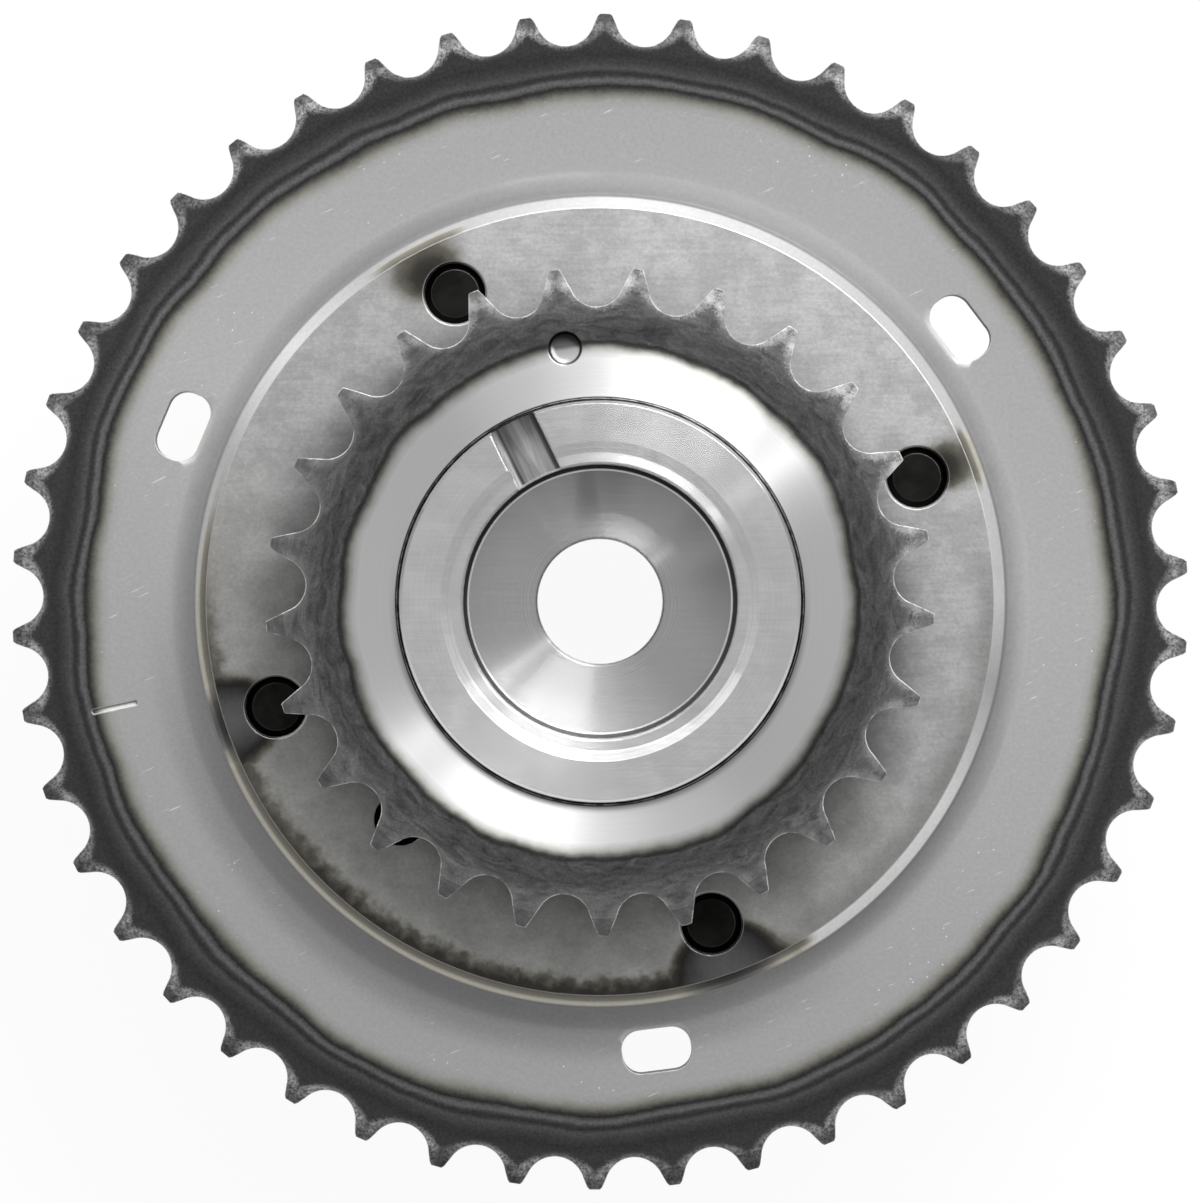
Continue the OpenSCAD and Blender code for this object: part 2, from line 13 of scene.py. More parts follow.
import bpy
import numpy as np
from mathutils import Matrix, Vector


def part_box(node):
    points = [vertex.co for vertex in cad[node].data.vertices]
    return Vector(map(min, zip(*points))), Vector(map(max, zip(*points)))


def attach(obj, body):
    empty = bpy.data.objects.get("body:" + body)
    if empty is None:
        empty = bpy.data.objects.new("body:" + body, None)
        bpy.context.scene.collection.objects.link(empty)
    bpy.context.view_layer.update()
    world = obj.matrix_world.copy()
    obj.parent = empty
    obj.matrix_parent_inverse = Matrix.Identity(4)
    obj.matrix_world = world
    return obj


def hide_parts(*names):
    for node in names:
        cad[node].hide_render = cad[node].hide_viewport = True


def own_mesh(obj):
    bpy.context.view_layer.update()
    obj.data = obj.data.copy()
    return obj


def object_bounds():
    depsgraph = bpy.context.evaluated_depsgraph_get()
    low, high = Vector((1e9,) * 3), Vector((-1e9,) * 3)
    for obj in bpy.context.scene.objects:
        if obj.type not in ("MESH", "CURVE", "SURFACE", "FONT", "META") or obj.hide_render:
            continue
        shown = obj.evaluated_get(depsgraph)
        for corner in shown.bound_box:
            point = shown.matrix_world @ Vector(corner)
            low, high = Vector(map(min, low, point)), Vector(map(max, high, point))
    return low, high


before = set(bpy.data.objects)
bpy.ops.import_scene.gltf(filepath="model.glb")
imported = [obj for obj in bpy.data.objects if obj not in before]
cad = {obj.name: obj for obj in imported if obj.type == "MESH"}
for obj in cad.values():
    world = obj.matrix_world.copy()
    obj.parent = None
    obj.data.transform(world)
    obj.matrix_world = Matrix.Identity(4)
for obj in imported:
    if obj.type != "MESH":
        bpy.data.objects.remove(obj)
cad_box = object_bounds()
scene = bpy.context.scene
MM = 0.001
print(len(cad), "solids, box in mm", [[round(c / MM, 2) for c in corner] for corner in cad_box])

# %% [markdown]
# ## Colours and nodes
#
# Colours are written as the sRGB hex codes that a paint program shows, but a shader works in linear
# light, so one function converts them. A second function adds one node of any kind: its settings go in
# by name, and each of its inputs is either a number, a colour or the output of another node. Three
# groups of settings come up again and again, so they get a name: a smooth step, a colour laid over
# another, and a colour darkened by another.

# %% Colour and node helpers
SMOOTH = {"interpolation_type": "SMOOTHSTEP"}
OVER = {"data_type": "RGBA"}
TIMES = {"data_type": "RGBA", "blend_type": "MULTIPLY"}


def linear(code):
    """Linear RGBA of an sRGB hex colour: the low end is divided by 12.92, the rest is a 2.4 power."""
    srgb = np.array([int(code[k:k + 2], 16) for k in (1, 3, 5)]) / 255
    rgb = np.where(srgb <= 0.04045, srgb / 12.92, ((srgb + 0.055) / 1.055) ** 2.4)
    return (*rgb.tolist(), 1.0)


def add(tree, kind, inputs=(), out=None, stops=(), **settings):
    """Add a node, fill its inputs by place or by name, and return one output.

    A socket is linked and a hex code becomes a linear colour. Stops are the places of a ramp, each with
    a hex code or a plain level. Without out, the first output in use is returned.
    """
    node = tree.nodes.new("ShaderNode" + kind)
    for name, value in settings.items():
        setattr(node, name, value)
    for key, value in inputs.items() if isinstance(inputs, dict) else enumerate(inputs):
        if isinstance(value, bpy.types.NodeSocket):
            tree.links.new(value, node.inputs[key])
        else:
            node.inputs[key].default_value = linear(value) if isinstance(value, str) else value
    for k, (at, level) in enumerate(stops):
        ramp = node.color_ramp.elements
        element = ramp[k] if k < 2 else ramp.new(1.0)
        element.position = at
        element.color = linear(level) if isinstance(level, str) else (level, level, level, 1.0)
    if not node.outputs:
        return node
    return node.outputs[out] if out else next(s for s in node.outputs if s.enabled)


print("node helper ready")

# %% [markdown]
# ## Finding a place on a round part
#
# Every finish here is laid out by where it lies on the wheel, so a few small functions answer that:
# how far from the axis, in which direction, how far along and across a ray, and how far from the
# nearest gap between two teeth. A painted image could hold the same, but it would need an unwrapped
# mesh and would blur close up. Object coordinates are metres, so they are scaled to millimetres once.

# %% Place helpers
def start(name):
    """New node material, with its adder, the place on the part in mm, that place on XY and its radius."""
    material = bpy.data.materials.new(name)
    material.use_nodes = True
    material.node_tree.nodes.clear()
    put = partial(add, material.node_tree)
    spot = put("VectorMath", {0: put("TexCoord", out="Object"), "Scale": 1 / MM}, operation="SCALE")
    flat = put("VectorMath", (spot, (1, 1, 0)), operation="MULTIPLY")
    radius = put("VectorMath", (flat,), operation="LENGTH")
    return material, put, spot, flat, radius


def on_ray(put, flat, angle):
    """Coordinates along and across a ray from the axis: the place turned back by the ray's angle."""
    turned = put("VectorRotate", {0: flat, "Angle": -math.radians(angle)}, rotation_type="Z_AXIS")
    along = put("SeparateXYZ", (turned,), out="X")
    return along, along.node.outputs["Y"]


def toward(put, flat, radius, angle):
    """Cosine of the angle to a ray: 1 on the ray, 0 square to it and -1 on the far side."""
    return put("Math", (on_ray(put, flat, angle)[0], radius), operation="DIVIDE")


def bearing(put, flat):
    """Direction from the axis in degrees, counted from +X toward +Y, from 0 to 360."""
    parts = put("SeparateXYZ", (flat,), out="X").node.outputs
    turn = put("Math", (parts["Y"], parts["X"]), operation="ARCTAN2")
    return put("Math", (put("Math", (turn,), operation="DEGREES"), 360.0, 0.0), operation="WRAP")


def from_gap(put, flat, radius, teeth, phase, centre_r):
    """Distance in mm from the centre of the nearest tooth gap.

    The direction is wrapped to one pitch with a gap in its middle, and the place is drawn again there.
    """
    pitch = 360 / teeth
    turn = put("Math", (bearing(put, flat), phase + pitch / 2), operation="SUBTRACT")
    local = put("Math", (turn, pitch / 2, -pitch / 2), operation="WRAP")
    local = put("Math", (local,), operation="RADIANS")
    x = both(put, radius, put("Math", (local,), operation="COSINE"))
    y = both(put, radius, put("Math", (local,), operation="SINE"))
    return put("VectorMath", (put("CombineXYZ", (x, y, 0.0)), (centre_r, 0, 0)), operation="DISTANCE")


print("place helpers ready")

# %% [markdown]
# ## Masks and ramps
#
# A mask is a share from 0 to 1. Two masks multiplied hold where both hold, and a band is a mask that
# rises and falls again. A graded colour is a ramp whose stops are written on the part's own scale, so
# a stop at 51.6 means 51.6 mm from the axis.

# %% Mask helpers
def both(put, *masks):
    """Share where all the masks hold: their product."""
    share = masks[0]
    for mask in masks[1:]:
        share = put("Math", (share, mask), operation="MULTIPLY")
    return share


def band(put, value, rise, top, fall, end):
    """Share inside a band: a smooth rise between the first two values and a smooth fall between the last."""
    return both(put, put("MapRange", (value, rise, top, 0.0, 1.0), **SMOOTH),
                put("MapRange", (value, fall, end, 1.0, 0.0), **SMOOTH))


def graded(put, value, stops):
    """Colour along a scale in mm, degrees or heat: each stop has a place on that scale and a colour."""
    low, high = stops[0][0], stops[-1][0]
    share = put("MapRange", (value, low, high, 0.0, 1.0))
    return put("ValToRGB", (share,), stops=[((at - low) / (high - low), level) for at, level in stops])


def mottled(put, colour, pattern, least, most, share=1.0):
    """Colour made darker and lighter by a noise: the noise's middle range is stretched to two factors."""
    factor = put("MapRange", (pattern, 0.3, 0.7, least, most))
    return put("Mix", {0: share, 6: colour, 7: factor}, **TIMES)


print("mask helpers ready")

# %% [markdown]
# ## How a turned edge and a turned face catch light
#
# All the steels end in the same few nodes. A Bevel node rounds the shading of every sharp edge by a
# fraction of a millimetre, and where its normal leaves the face's own normal, the edge is painted pale,
# partly wear and partly a painted highlight.
# Turned faces get anisotropy: the rings of a lathe scatter light across themselves, along the radius,
# so the radius is the tangent that the highlight is drawn out along. That makes the two bright wedges
# that everyone knows from the lid of a saucepan.

# %% Steel
def steel(put, flat, colour, roughness, height, depth, lay=0.0, edge_wear_and_glint=0.5, soft=0.12 * MM):
    """Steel from a colour and a roughness, with depth in mm of bump and edges rounded by soft, in metres."""
    bevel = put("Bevel", {"Radius": soft}, samples=6)
    face = put("NewGeometry", out="Normal")
    turn = put("VectorMath", (bevel, face), operation="DOT_PRODUCT")
    rim = both(put, put("MapRange", (turn, 0.997, 0.92, 0.0, 1.0)), edge_wear_and_glint)
    # Edges get a thin pale outline: partly wear, as on teeth that have met a chain, partly a painted
    # highlight.
    shade = put("Mix", {0: rim, 6: colour, 7: "#dcdbd8"}, **OVER)
    normal = put("Bump", {"Height": height, "Distance": depth * MM, "Normal": bevel})
    radial = put("VectorMath", (flat,), operation="NORMALIZE")
    tangent = put("VectorTransform", (radial,), vector_type="VECTOR", convert_from="OBJECT",
                  convert_to="WORLD")
    skin = put("BsdfPrincipled", {
        "Base Color": shade, "Metallic": 1.0, "Roughness": roughness, "Normal": normal,
        "Anisotropic": lay, "Tangent": tangent,
    })
    put("OutputMaterial", {"Surface": skin})


print("steel ready")

# %% [markdown]
# ## Burns on the raised disc
#
# Four burns run from the bolt holes to the edge of the raised disc, and a dark band follows that edge
# along the bottom. Heated steel grows an oxide film, and the film's thickness sets its colour: straw,
# then brown, then near black, then grey. So the burns are one field of heat, and one ramp turns heat
# into colour. The tints could be mixed one by one, but then their fringes wouldn't run side by side.
# The two hot burns reach grey in the middle and show all the tints. The two cooler ones stop at brown
# and fade toward the rim.

# %% Heat field
BOLT_R = 34.25
DISC_R = 39.65
# Direction, half width beside the bolt, widening per mm, heat, and the share of it left at the rim
BURNS = [
    (21.4, 2.5, 0.22, 0.42, 0.60), (117.6, 3.5, 0.40, 0.41, 0.65),
    (198.0, 3.1, 0.45, 1.00, 1.00), (289.1, 3.3, 0.80, 1.00, 1.00),
]
# Heat along the rim of the disc: direction in degrees, and heat
RIM_HEAT = [
    (150, 0.0), (166, 0.08), (180, 0.2), (190, 0.28), (212, 0.3), (226, 0.38), (294, 0.44), (304, 0.0),
]


def heat_field(put, spot, flat, radius):
    """Heat over the disc, 0 for bare steel and 1 for the hottest oxide.

    Beside each bolt the heat falls off smoothly from the middle of a burn to its edge, and the burn
    widens toward the rim. Along the rim the heat depends on the direction and rises over 4 mm. Noise
    added to both distances makes the borders ragged.
    """
    torn = put("TexNoise", {"Vector": spot, "Scale": 0.7, "Detail": 4.0, "Roughness": 0.55})
    ragged = put("MapRange", (torn, 0.3, 0.7, -0.55, 0.55))
    reach = put("Math", (radius, ragged), operation="ADD")
    heat = both(put, put("MapRange", (reach, DISC_R - 3.75, DISC_R + 0.65, 0.0, 1.0), **SMOOTH),
                graded(put, bearing(put, flat), RIM_HEAT))
    for angle, half, spread, peak, left in BURNS:
        along, across = on_ray(put, flat, angle)
        width = put("MapRange", (along, BOLT_R, BOLT_R + 6, half, half + 6 * spread))
        side = put("Math", (across,), operation="ABSOLUTE")
        side = put("Math", (ragged, 0.4, side), operation="MULTIPLY_ADD")
        part = put("Math", (side, width), operation="DIVIDE")
        core = put("MapRange", (part, 0.0, 1.35, peak, 0.0), **SMOOTH)
        begun = put("MapRange", (along, BOLT_R - 1.5, BOLT_R + 2.5, 0.0, 1.0), **SMOOTH)
        fading = put("MapRange", (along, BOLT_R + 3, DISC_R, 1.0, left), **SMOOTH)
        heat = put("Math", (heat, both(put, core, begun, fading)), operation="MAXIMUM")
    return heat


print(len(BURNS), "burns")

# %% [markdown]
# ## The large sprocket's rim
#
# This piece is one forged and blasted plate. Its teeth were hardened by an induction coil, so from
# 51 mm out the steel is charcoal, with ripples where the heat stopped and a thin straw-coloured halo.
# Slow noise added to the radius makes those borders wander the way heat does. The rollers of the chain
# have rubbed the oxide off around each gap, so a bright speckled band follows the gap's round seat and
# leaves a dark dome under every tooth. Distance from the gap is one formula for all 46 gaps, where a
# painted mask would have to be drawn for each.

# %% Rim colours
LARGE_TEETH, LARGE_PHASE, LARGE_GAP_R, LARGE_SEAT = 46, 3.4, 59.11, 3.0


def rim_colour(put, spot, radius, fleck):
    """Blasted plate and the edge of the hardened zone, by the radius in mm with noise added to it."""
    slow = put("TexNoise", {"Vector": spot, "Scale": 0.08, "Detail": 1.0})
    quick = put("TexNoise", {"Vector": spot, "Scale": 0.6, "Detail": 5.0, "Roughness": 0.65})
    wander = put("MapRange", (slow, 0.3, 0.7, -0.5, 0.5))
    shiver = put("MapRange", (quick, 0.3, 0.7, -0.1, 0.1))
    reach = put("Math", (put("Math", (radius, wander), operation="ADD"), shiver), operation="ADD")
    base = graded(put, reach, [
        (49.6, "#a7a7a7"), (50.3, "#a0a09f"), (50.7, "#92928d"), (51.0, "#807f78"), (51.3, "#64635d"),
        (51.6, "#424240"), (51.85, "#303030"), (52.2, "#5e5e5e"), (52.45, "#646464"), (52.8, "#3e3e3e"),
        (53.1, "#363636"), (53.5, "#525252"), (54.1, "#434343"), (54.9, "#383838"), (56.0, "#3f3f3f"),
    ])
    # The speckle gives the eye a crusted oxide instead of a painted band.
    return mottled(put, base, fleck, 0.72, 1.28, put("MapRange", (reach, 50.8, 51.8, 0.0, 1.0)))


def rubbed_teeth(put, flat, radius, base, cloud, fleck):
    """Bright speckled band where the rollers run, wider up the flanks, and duller at the tips."""
    gap = from_gap(put, flat, radius, LARGE_TEETH, LARGE_PHASE, LARGE_GAP_R)
    limit = put("MapRange", (radius, 56.1, 57.6, LARGE_SEAT + 0.5, LARGE_SEAT + 1.4))
    ragged = put("MapRange", (fleck, 0.3, 0.7, -0.6, 0.6))
    excess = put("Math", (put("Math", (gap, limit), operation="SUBTRACT"), ragged), operation="ADD")
    rubbed = both(put, put("MapRange", (excess, 0.15, -0.35, 0.0, 1.0), **SMOOTH),
                  put("MapRange", (radius, 55.4, 56.2, 0.0, 1.0)),
                  put("MapRange", (cloud, 0.36, 0.6, 0.3, 0.95), **SMOOTH),
                  put("MapRange", (radius, 58.0, 58.7, 1.0, 0.45), **SMOOTH))
    speck = put("MapRange", (fleck, 0.4, 0.6, 0.0, 1.0))
    bright = put("Mix", {0: speck, 6: "#666666", 7: "#b8b8b8"}, **OVER)
    return put("Mix", {0: rubbed, 6: base, 7: bright}, **OVER)


print(LARGE_TEETH, "teeth rubbed by the chain")

# %% [markdown]
# ## The large sprocket's disc
#
# The raised disc is smoother than the plate and cloudy, darker toward the lower left with an old film and
# painted shade under the small sprocket. Its edge is a turned cone whose tone by direction is a painted
# reflection, dull where a burn crossed it, with a painted highlight line at the outside. Both read the same
# heat field, so a burn runs on over the edge.

# %% Disc and cone colours
CONE_R = 40.78
# Painted reflection: tone of the unburned cone by direction in degrees
CONE_REFLECTION_TONE = [
    (0, "#d6d6d6"), (50, "#b4b4b4"), (88, "#d0d0d0"), (108, "#b8b8b8"), (125, "#acacac"), (140, "#d2d2d2"),
    (158, "#bababa"), (300, "#f0f0f0"), (330, "#f4f4f4"), (348, "#bababa"), (360, "#d6d6d6"),
]


def disc_colour(put, spot, flat, radius, cloud, heat):
    """Cloudy steel with fine brushed lines, darker about 245 degrees by an old film and painted shade, and
    the heat tints on top.
    """
    hair = put("TexNoise", {"Vector": put("VectorMath", (flat, (0.3, 2.6, 0)), operation="MULTIPLY"),
                            "Scale": 1.0, "Detail": 4.0})
    film = put("TexNoise", {"Vector": spot, "Scale": 0.13, "Detail": 5.0, "Roughness": 0.6})
    clear = put("MapRange", (cloud, 0.38, 0.64, 0.0, 1.0), **SMOOTH)
    bare = put("Mix", {0: clear, 6: "#9d9d9d", 7: "#ababab"}, **OVER)
    # Partly an old film, partly painted shade under the small sprocket: the disc is darker about 245 degrees.
    film_and_shade = both(put, put("MapRange", (toward(put, flat, radius, 245), -0.35, 0.65, 0.0, 1.0), **SMOOTH),
                  put("MapRange", (film, 0.32, 0.56, 0.5, 0.95), **SMOOTH))
    bare = put("Mix", {0: film_and_shade, 6: bare, 7: "#929290"}, **OVER)
    bare = mottled(put, bare, hair, 0.94, 1.06, put("MapRange", (film_and_shade, 0.0, 0.6, 1.0, 0.25)))
    bare = mottled(put, mottled(put, bare, film, 0.88, 1.14, film_and_shade), cloud, 0.84, 1.16, film_and_shade)
    tint = graded(put, heat, [
        (0.0, "#a4a4a2"), (0.12, "#888680"), (0.22, "#5f5d56"), (0.33, "#3b3935"), (0.45, "#2a2928"),
        (0.62, "#3c3c3c"), (0.8, "#4c4c4c"), (1.0, "#585858"),
    ])
    # Dust lies against the rim at the lower right and takes the shine off a strip there.
    dusty = both(put, put("MapRange", (radius, DISC_R - 3.25, DISC_R - 0.25, 0.0, 0.55), **SMOOTH),
                 put("MapRange", (toward(put, flat, radius, 330), 0.7, 0.95, 0.0, 1.0), **SMOOTH))
    bare = put("Mix", {0: dusty, 6: bare, 7: "#6c6c6a"}, **OVER)
    tinted = put("MapRange", (heat, 0.02, 0.24, 0.0, 1.0), **SMOOTH)
    return put("Mix", {0: tinted, 6: bare, 7: tint}, **OVER)


def cone_colour(put, flat, radius, heat):
    """Turned cone: a painted reflection sets its tone by direction, and heat dulls it but for a painted
    highlight line at the outside.
    """
    reflected_tone = graded(put, bearing(put, flat), CONE_REFLECTION_TONE)
    tint = graded(put, heat, [
        (0.0, "#a8a5a0"), (0.1, "#96928a"), (0.2, "#827f77"), (0.45, "#8a877e"), (0.8, "#5a5957"),
        (1.0, "#444443"),
    ])
    # Painted highlight: a bright line along the outside of the burned cone.
    painted_highlight_line = put("Math", (put("MapRange", (radius, DISC_R + 0.15, DISC_R + 0.65, 0.7, 1.15)),
                          put("MapRange", (radius, DISC_R + 0.5, DISC_R + 0.85, 0.0, 1.3), **SMOOTH)),
                 operation="ADD")
    tint = put("Mix", {0: 1.0, 6: tint, 7: painted_highlight_line}, **TIMES)
    tint = put("Mix", {0: 1.0, 6: tint, 7: reflected_tone}, data_type="RGBA", blend_type="DARKEN")
    scorched = put("MapRange", (heat, 0.02, 0.14, 0.0, 1.0), **SMOOTH)
    return put("Mix", {0: scorched, 6: reflected_tone, 7: tint}, **OVER)


print("disc and cone colours ready")

# %% [markdown]
# ## The large sprocket, put together
#
# The plate is darker in the corner at the foot of the raised disc, a painted shadow of the disc, most of
# all along the bottom, and a painted shade darkens it toward the lower left, the right and the top. Shot
# that struck late left bright dents, and handling left short scratches. The timing line is a shallow
# groove in the solid, half a millimetre wide, and colours across it paint a highlight along its lower
# side and shade along its upper side.

# %% Plate wear and painted shade
FOOT_R = 43.6
MARK_ANGLE, MARK_IN, MARK_OUT = 192.3, 47.7, 52.4


def plate_wear_and_shade(put, flat, radius, rim, cloud):
    """Rim colour times a painted shadow at the disc's foot and a painted shade toward the lower left, right
    and top, with bright dents and scratches.
    """
    # Painted shadow: the plate is darker all round at the foot of the disc, most along the bottom and a
    # little at the top.
    foot = put("MapRange", (radius, 41.0, 44.0, 0.84, 1.0), **SMOOTH)
    below = both(put, band(put, radius, 41.2, 43.2, 44.0, 47.2),
                 put("MapRange", (toward(put, flat, radius, 244), 0.35, 0.85, 0.0, 0.24), **SMOOTH))
    above = both(put, band(put, radius, 40.8, 41.2, 42.3, 43.8),
                 put("MapRange", (toward(put, flat, radius, 75), 0.2, 0.8, 0.0, 0.24), **SMOOTH))
    painted_foot_shade = put("Math", (foot, put("Math", (below, above), operation="ADD")), operation="SUBTRACT")
    # Painted shade: the plate is darker toward the lower left, the right and the top.
    painted_tone = both(put, put("MapRange", (on_ray(put, flat, 240)[0], 0.0, 52.0, 1.0, 0.84)),
                 put("MapRange", (on_ray(put, flat, 350)[0], 20.0, 52.0, 1.0, 0.92)),
                 put("MapRange", (on_ray(put, flat, 75)[0], 12.0, 50.0, 1.0, 0.76)))
    rim = put("Mix", {0: 1.0, 6: rim, 7: both(put, painted_foot_shade, painted_tone)}, **TIMES)
    # Shot dents are 0.1 mm across, and drawn twice as wide here so that they show as bright points.
    shot = put("TexVoronoi", {"Vector": flat, "Scale": 0.6}, voronoi_dimensions="2D")
    chosen = put("SeparateColor", (shot.node.outputs["Color"],), out="Red")
    patch = put("TexNoise", {"Vector": flat, "Scale": 0.07})
    plate = band(put, radius, FOOT_R - 0.2, FOOT_R + 0.4, 50.4, 51.0)
    struck = both(put, put("MapRange", (shot, 0.06, 0.03, 0.0, 0.55)), plate,
                  put("MapRange", (chosen, 0.6, 0.65, 0.0, 1.0)),
                  put("MapRange", (patch, 0.54, 0.62, 0.0, 1.0)))
    along, across = on_ray(put, flat, 24)
    stretched = put("CombineXYZ", (both(put, along, 0.3), both(put, across, 3.4), 0.0))
    scratch = put("TexNoise", {"Vector": stretched, "Scale": 1.0, "Detail": 1.0})
    scratched = both(put, put("MapRange", (scratch, 0.69, 0.74, 0.0, 0.35)), plate,
                     put("MapRange", (cloud, 0.5, 0.6, 0.0, 1.0)))
    marked = put("Math", (struck, scratched), operation="MAXIMUM")
    return put("Mix", {0: marked, 6: rim, 7: "#f0f0f0"}, **OVER)


def timing_line(put, flat, level, base):
    """Scribed line on the front: painted shade along its upper wall, a painted highlight along the lower one,
    faint at its ends.
    """
    along, across = on_ray(put, flat, MARK_ANGLE)
    groove = both(put, band(put, along, MARK_IN - 0.3, MARK_IN + 0.7, MARK_OUT - 1.8, MARK_OUT + 0.2),
                  band(put, across, -0.5, -0.1, 0.14, 0.26), put("MapRange", (level, -5.0, -4.8, 0.0, 1.0)))
    # Painted light across the groove: shade at the upper wall, a highlight at the lower one.
    cut = graded(put, across, [
        (-0.4, "#a0a0a0"), (-0.1, "#b4b4b4"), (0.05, "#dadad8"), (0.2, "#e4e4e2"),
    ])
    return put("Mix", {0: groove, 6: base, 7: cut}, **OVER)


print("plate wear ready")

# %% [markdown]
# One material then lays these colours from the axis outward: disc, cone, plate, teeth. It could be
# three materials on three groups of faces, but the borders between the finishes don't follow the faces.
# The vent hole of the lock is painted black inside, a painted shade. Its centre is read from the bush below
# it.

# %% Large sprocket material
DISC_Z, VENT_R = -1.6, 2.65
low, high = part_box("lock_seat_bush")
VENT = ((low[0] + high[0]) / 2 / MM, (low[1] + high[1]) / 2 / MM, 0.0)


def large_sprocket():
    """Blasted plate with hardened teeth, a cloudy disc with four burns, and a timing line with a painted
    highlight.
    """
    material, put, spot, flat, radius = start("blasted_steel_with_heat_tints")
    cloud = put("TexNoise", {"Vector": spot, "Scale": 0.3, "Detail": 4.0, "Roughness": 0.6})
    grain = put("TexNoise", {"Vector": spot, "Scale": 2.6, "Detail": 3.0, "Roughness": 0.6})
    fleck = put("TexNoise", {"Vector": spot, "Scale": 3.4, "Detail": 4.0, "Roughness": 0.7})
    level = put("SeparateXYZ", (spot,), out="Z")
    heat = heat_field(put, spot, flat, radius)
    rim = rim_colour(put, spot, radius, fleck)
    rim = rubbed_teeth(put, flat, radius, rim, cloud, fleck)
    rim = timing_line(put, flat, level, plate_wear_and_shade(put, flat, radius, rim, cloud))
    disc = mottled(put, disc_colour(put, spot, flat, radius, cloud, heat), fleck, 0.9, 1.1)
    cone = cone_colour(put, flat, radius, heat)
    on_cone = put("MapRange", (radius, DISC_R - 0.1, DISC_R + 0.05, 0.0, 1.0))
    inner = put("Mix", {0: on_cone, 6: disc, 7: cone}, **OVER)
    on_plate = put("MapRange", (radius, CONE_R - 0.13, CONE_R + 0.07, 0.0, 1.0), **SMOOTH)
    base = put("Mix", {0: on_plate, 6: inner, 7: rim}, **OVER)
    # Blasting leaves pits of 0.05 mm; the grain is drawn coarser, at 0.4 mm, so that it can be seen.
    base = mottled(put, base, grain, 0.94, 1.05)
    # Painted shade: the wall of the vent hole below the disc is painted near black.
    vent = put("VectorMath", (flat, VENT), operation="DISTANCE")
    painted_dark = both(put, put("MapRange", (vent, VENT_R + 0.1, VENT_R + 0.05, 0.0, 1.0)),
                put("MapRange", (level, DISC_Z - 0.1, DISC_Z - 0.2, 0.0, 1.0)))
    base = put("Mix", {0: painted_dark, 6: base, 7: "#101010"}, **OVER)
    # The disc is satin, its cone finer and the plate dull, so the cone shows as a bright line between.
    rough = put("Math", (put("MapRange", (radius, DISC_R - 0.15, DISC_R + 0.05, 0.5, 0.36)),
                         put("MapRange", (radius, CONE_R - 0.13, CONE_R + 0.62, 0.36, 0.68), **SMOOTH)),
                operation="MAXIMUM")
    # Blasting has softened the hollow at the disc's foot, so it runs into the plate without a crease.
    foot = band(put, radius, FOOT_R - 2.0, FOOT_R - 1.2, FOOT_R + 0.4, FOOT_R + 1.2)
    soft = put("MapRange", (foot, 0.0, 1.0, 0.16 * MM, 1.2 * MM))
    steel(put, flat, base, rough, grain, 0.010, lay=0.1, edge_wear_and_glint=0.75, soft=soft)
    return material


cad["primary_sprocket"].data.materials.clear()
cad["primary_sprocket"].data.materials.append(large_sprocket())
print("large sprocket:", len(cad["primary_sprocket"].active_material.node_tree.nodes), "nodes")

# %% [markdown]
# ## The small sprocket
#
# Its teeth were hardened in the same way, but its middle was turned afterwards, and the tool cut the
# oxide away. So a bright ring ends in a dark line half a millimetre wide. Outside that line the oxide
# is mottled, and the chain has rubbed it off around the gaps and at the tips. A drilled dimple marks
# one tooth: its wall is painted dark under the upper edge and light below, a painted shade and highlight.

# %% Small sprocket colours
SMALL_TEETH, SMALL_PHASE, SMALL_GAP_R, SMALL_SEAT = 25, 11.45, 32.11, 2.7
DIMPLE_R, DIMPLE_ANGLE, DIMPLE_MOUTH = 25.51, 97.85, 1.7


def hardened_ring(put, flat, reach, fleck):
    """Turned steel inside, a dark line at 26 mm and smoky oxide outside it, by the radius in mm.

    The smoke is noise stretched along the wheel: the direction is drawn on a small circle and the
    radius stands upright on it, so the noise changes three times faster across the ring than around it.
    """
    base = graded(put, reach, [
        (24.2, "#d8d8d8"), (24.7, "#c6c6c5"), (25.1, "#a6a6a2"), (25.4, "#74746f"), (25.7, "#3a3a38"),
        (25.95, "#303030"), (26.25, "#4c4c4c"), (27.2, "#464646"), (28.4, "#4c4c4c"), (29.6, "#5a5a5a"),
    ])
    oxide = put("MapRange", (reach, 25.5, 26.1, 0.0, 1.0), **SMOOTH)
    outward = put("VectorMath", (flat,), operation="NORMALIZE")
    around = put("VectorMath", {0: outward, "Scale": 9.0}, operation="SCALE")
    drawn_out = put("VectorMath", (around, put("CombineXYZ", (0.0, 0.0, reach))), operation="ADD")
    smoke = put("TexNoise", {"Vector": drawn_out, "Scale": 0.9, "Detail": 4.0, "Roughness": 0.55,
                             "Distortion": 1.6})
    return mottled(put, mottled(put, base, smoke, 0.6, 1.42, oxide), fleck, 0.75, 1.25, oxide)


